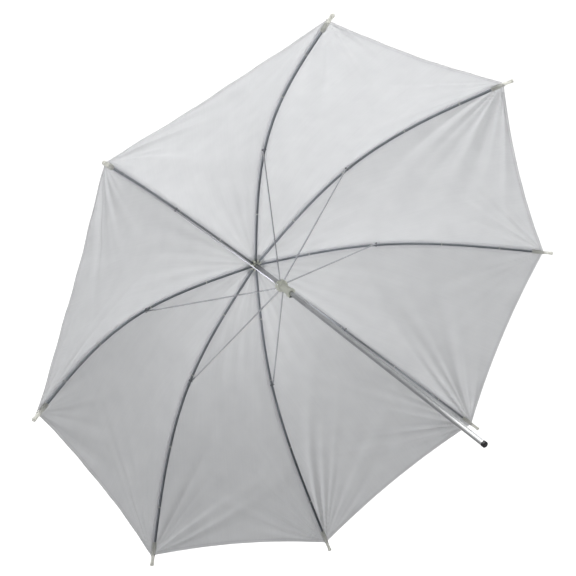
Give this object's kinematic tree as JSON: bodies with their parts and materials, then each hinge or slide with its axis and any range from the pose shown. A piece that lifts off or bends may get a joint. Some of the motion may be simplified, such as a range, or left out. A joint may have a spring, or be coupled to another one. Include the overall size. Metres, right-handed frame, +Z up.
{
  "type": "umbrella reflector",
  "caption": "White translucent photo umbrella, open, with a steel shaft, hinged ribs and stretchers, a sliding runner and a sprung catch.",
  "frame": {"origin": "on the shaft's centre line, where a bracket clamps it, 480 mm from the crown's wire", "axes": "-Y along the shaft to its free end, which is the open side of the canopy; +Y to the canopy's outer side; +Z up through rib 1; +X through rib 3"},
  "size_m": [0.9096, 0.6109, 0.9096],
  "materials": {
    "shaft_steel": "polished drawn tube",
    "rib_steel": "oiled spring steel, dark grey",
    "stretcher_steel": "bright spring steel",
    "pin_steel": "dark steel wire and rivets",
    "spring_steel": "bright spring leaf",
    "white_plastic": "moulded off-white",
    "tip_plastic": "moulded ivory white",
    "cap_black": "moulded black",
    "canopy_nylon": "translucent white nylon, satin"
  },
  "bodies": {
    "frame": {"shaft_tube": "shaft_steel", "end_cap": "cap_black", "crown": "white_plastic", "crown_wire": "pin_steel", "crown_pin": "pin_steel", "apex_washer": "white_plastic", "top_cap": "white_plastic"},
    "rib_1": {"rib_1_inner": "rib_steel", "rivet_1": "pin_steel"},
    "rib_1_end": {"rib_1_outer": "rib_steel", "rib_tip_1": "tip_plastic", "canopy_panel_1": "canopy_nylon"},
    "stretcher_1": {"stretcher_1": "stretcher_steel"},
    "rib_2": {"rib_2_inner": "rib_steel", "rivet_2": "pin_steel"},
    "rib_2_end": {"rib_2_outer": "rib_steel", "rib_tip_2": "tip_plastic", "canopy_panel_2": "canopy_nylon"},
    "stretcher_2": {"stretcher_2": "stretcher_steel"},
    "rib_3": {"rib_3_inner": "rib_steel", "rivet_3": "pin_steel"},
    "rib_3_end": {"rib_3_outer": "rib_steel", "rib_tip_3": "tip_plastic", "canopy_panel_3": "canopy_nylon"},
    "stretcher_3": {"stretcher_3": "stretcher_steel"},
    "rib_4": {"rib_4_inner": "rib_steel", "rivet_4": "pin_steel"},
    "rib_4_end": {"rib_4_outer": "rib_steel", "rib_tip_4": "tip_plastic", "canopy_panel_4": "canopy_nylon"},
    "stretcher_4": {"stretcher_4": "stretcher_steel"},
    "rib_5": {"rib_5_inner": "rib_steel", "rivet_5": "pin_steel"},
    "rib_5_end": {"rib_5_outer": "rib_steel", "rib_tip_5": "tip_plastic", "canopy_panel_5": "canopy_nylon"},
    "stretcher_5": {"stretcher_5": "stretcher_steel"},
    "rib_6": {"rib_6_inner": "rib_steel", "rivet_6": "pin_steel"},
    "rib_6_end": {"rib_6_outer": "rib_steel", "rib_tip_6": "tip_plastic", "canopy_panel_6": "canopy_nylon"},
    "stretcher_6": {"stretcher_6": "stretcher_steel"},
    "rib_7": {"rib_7_inner": "rib_steel", "rivet_7": "pin_steel"},
    "rib_7_end": {"rib_7_outer": "rib_steel", "rib_tip_7": "tip_plastic", "canopy_panel_7": "canopy_nylon"},
    "stretcher_7": {"stretcher_7": "stretcher_steel"},
    "rib_8": {"rib_8_inner": "rib_steel", "rivet_8": "pin_steel"},
    "rib_8_end": {"rib_8_outer": "rib_steel", "rib_tip_8": "tip_plastic", "canopy_panel_8": "canopy_nylon"},
    "stretcher_8": {"stretcher_8": "stretcher_steel"},
    "runner": {"runner": "white_plastic", "runner_wire": "pin_steel"},
    "catch": {"catch_spring": "spring_steel"}
  },
  "joints": [
    {"name": "canopy_fold", "type": "hinge", "parent": "frame", "child": "rib_1", "pos_m": [0, 0.48, 0.0085], "axis": [1, 0, 0], "range_deg": [0, 74.5], "deforming": ["canopy_panel_1", "canopy_panel_2", "canopy_panel_3", "canopy_panel_4", "canopy_panel_5", "canopy_panel_6", "canopy_panel_7", "canopy_panel_8"]},
    {"name": "rib_2_fold", "type": "hinge", "parent": "frame", "child": "rib_2", "pos_m": [0.00601, 0.48, 0.00601], "axis": [0.7071, 0, -0.7071], "range_deg": [0, 74.5]},
    {"name": "rib_3_fold", "type": "hinge", "parent": "frame", "child": "rib_3", "pos_m": [0.0085, 0.48, 0], "axis": [0, 0, -1], "range_deg": [0, 74.5]},
    {"name": "rib_4_fold", "type": "hinge", "parent": "frame", "child": "rib_4", "pos_m": [0.00601, 0.48, -0.00601], "axis": [-0.7071, 0, -0.7071], "range_deg": [0, 74.5]},
    {"name": "rib_5_fold", "type": "hinge", "parent": "frame", "child": "rib_5", "pos_m": [0, 0.48, -0.0085], "axis": [-1, 0, 0], "range_deg": [0, 74.5]},
    {"name": "rib_6_fold", "type": "hinge", "parent": "frame", "child": "rib_6", "pos_m": [-0.00601, 0.48, -0.00601], "axis": [-0.7071, 0, 0.7071], "range_deg": [0, 74.5]},
    {"name": "rib_7_fold", "type": "hinge", "parent": "frame", "child": "rib_7", "pos_m": [-0.0085, 0.48, 0], "axis": [0, 0, 1], "range_deg": [0, 74.5]},
    {"name": "rib_8_fold", "type": "hinge", "parent": "frame", "child": "rib_8", "pos_m": [-0.00601, 0.48, 0.00601], "axis": [0.7071, 0, 0.7071], "range_deg": [0, 74.5]},
    {"name": "stretcher_1_pivot", "type": "hinge", "parent": "rib_1", "child": "stretcher_1", "pos_m": [0, 0.43669, 0.21869], "axis": [1, 0, 0], "range_deg": [-149, 0]},
    {"name": "rib_1_flex", "type": "hinge", "parent": "rib_1", "child": "rib_1_end", "pos_m": [0, 0.43386, 0.22509], "axis": [1, 0, 0], "range_deg": [-21.61, 0]},
    {"name": "stretcher_2_pivot", "type": "hinge", "parent": "rib_2", "child": "stretcher_2", "pos_m": [0.15464, 0.43669, 0.15464], "axis": [0.7071, 0, -0.7071], "range_deg": [-149, 0]},
    {"name": "rib_2_flex", "type": "hinge", "parent": "rib_2", "child": "rib_2_end", "pos_m": [0.15916, 0.43386, 0.15916], "axis": [0.7071, 0, -0.7071], "range_deg": [-21.61, 0]},
    {"name": "stretcher_3_pivot", "type": "hinge", "parent": "rib_3", "child": "stretcher_3", "pos_m": [0.21869, 0.43669, 0], "axis": [0, 0, -1], "range_deg": [-149, 0]},
    {"name": "rib_3_flex", "type": "hinge", "parent": "rib_3", "child": "rib_3_end", "pos_m": [0.22509, 0.43386, 0], "axis": [0, 0, -1], "range_deg": [-21.61, 0]},
    {"name": "stretcher_4_pivot", "type": "hinge", "parent": "rib_4", "child": "stretcher_4", "pos_m": [0.15464, 0.43669, -0.15464], "axis": [-0.7071, 0, -0.7071], "range_deg": [-149, 0]},
    {"name": "rib_4_flex", "type": "hinge", "parent": "rib_4", "child": "rib_4_end", "pos_m": [0.15916, 0.43386, -0.15916], "axis": [-0.7071, 0, -0.7071], "range_deg": [-21.61, 0]},
    {"name": "stretcher_5_pivot", "type": "hinge", "parent": "rib_5", "child": "stretcher_5", "pos_m": [0, 0.43669, -0.21869], "axis": [-1, 0, 0], "range_deg": [-149, 0]},
    {"name": "rib_5_flex", "type": "hinge", "parent": "rib_5", "child": "rib_5_end", "pos_m": [0, 0.43386, -0.22509], "axis": [-1, 0, 0], "range_deg": [-21.61, 0]},
    {"name": "stretcher_6_pivot", "type": "hinge", "parent": "rib_6", "child": "stretcher_6", "pos_m": [-0.15464, 0.43669, -0.15464], "axis": [-0.7071, 0, 0.7071], "range_deg": [-149, 0]},
    {"name": "rib_6_flex", "type": "hinge", "parent": "rib_6", "child": "rib_6_end", "pos_m": [-0.15916, 0.43386, -0.15916], "axis": [-0.7071, 0, 0.7071], "range_deg": [-21.61, 0]},
    {"name": "stretcher_7_pivot", "type": "hinge", "parent": "rib_7", "child": "stretcher_7", "pos_m": [-0.21869, 0.43669, 0], "axis": [0, 0, 1], "range_deg": [-149, 0]},
    {"name": "rib_7_flex", "type": "hinge", "parent": "rib_7", "child": "rib_7_end", "pos_m": [-0.22509, 0.43386, 0], "axis": [0, 0, 1], "range_deg": [-21.61, 0]},
    {"name": "stretcher_8_pivot", "type": "hinge", "parent": "rib_8", "child": "stretcher_8", "pos_m": [-0.15464, 0.43669, 0.15464], "axis": [0.7071, 0, 0.7071], "range_deg": [-149, 0]},
    {"name": "rib_8_flex", "type": "hinge", "parent": "rib_8", "child": "rib_8_end", "pos_m": [-0.15916, 0.43386, 0.15916], "axis": [0.7071, 0, 0.7071], "range_deg": [-21.61, 0]},
    {"name": "runner_travel", "type": "hinge", "parent": "stretcher_1", "child": "runner", "pos_m": [0, 0.39338, 0.0085], "axis": [1, 0, 0], "range_deg": [0, 74.5]},
    {"name": "catch_press", "type": "hinge", "parent": "frame", "child": "catch", "pos_m": [-0.00138, 0.325, -0.00197], "axis": [0.8192, 0, -0.5736], "range_deg": [0, 7], "stiffness_Nm_per_rad": 0.5, "deforming": ["catch_spring"]}
  ],
  "couplings": [
    {"joint": "rib_2_fold", "follows": "canopy_fold", "ratio": 1},
    {"joint": "rib_3_fold", "follows": "canopy_fold", "ratio": 1},
    {"joint": "rib_4_fold", "follows": "canopy_fold", "ratio": 1},
    {"joint": "rib_5_fold", "follows": "canopy_fold", "ratio": 1},
    {"joint": "rib_6_fold", "follows": "canopy_fold", "ratio": 1},
    {"joint": "rib_7_fold", "follows": "canopy_fold", "ratio": 1},
    {"joint": "rib_8_fold", "follows": "canopy_fold", "ratio": 1},
    {"joint": "stretcher_1_pivot", "follows": "canopy_fold", "ratio": -2},
    {"joint": "rib_1_flex", "follows": "canopy_fold", "ratio": -0.29},
    {"joint": "stretcher_2_pivot", "follows": "canopy_fold", "ratio": -2},
    {"joint": "rib_2_flex", "follows": "canopy_fold", "ratio": -0.29},
    {"joint": "stretcher_3_pivot", "follows": "canopy_fold", "ratio": -2},
    {"joint": "rib_3_flex", "follows": "canopy_fold", "ratio": -0.29},
    {"joint": "stretcher_4_pivot", "follows": "canopy_fold", "ratio": -2},
    {"joint": "rib_4_flex", "follows": "canopy_fold", "ratio": -0.29},
    {"joint": "stretcher_5_pivot", "follows": "canopy_fold", "ratio": -2},
    {"joint": "rib_5_flex", "follows": "canopy_fold", "ratio": -0.29},
    {"joint": "stretcher_6_pivot", "follows": "canopy_fold", "ratio": -2},
    {"joint": "rib_6_flex", "follows": "canopy_fold", "ratio": -0.29},
    {"joint": "stretcher_7_pivot", "follows": "canopy_fold", "ratio": -2},
    {"joint": "rib_7_flex", "follows": "canopy_fold", "ratio": -0.29},
    {"joint": "stretcher_8_pivot", "follows": "canopy_fold", "ratio": -2},
    {"joint": "rib_8_flex", "follows": "canopy_fold", "ratio": -0.29},
    {"joint": "runner_travel", "follows": "canopy_fold", "ratio": 1}
  ]
}
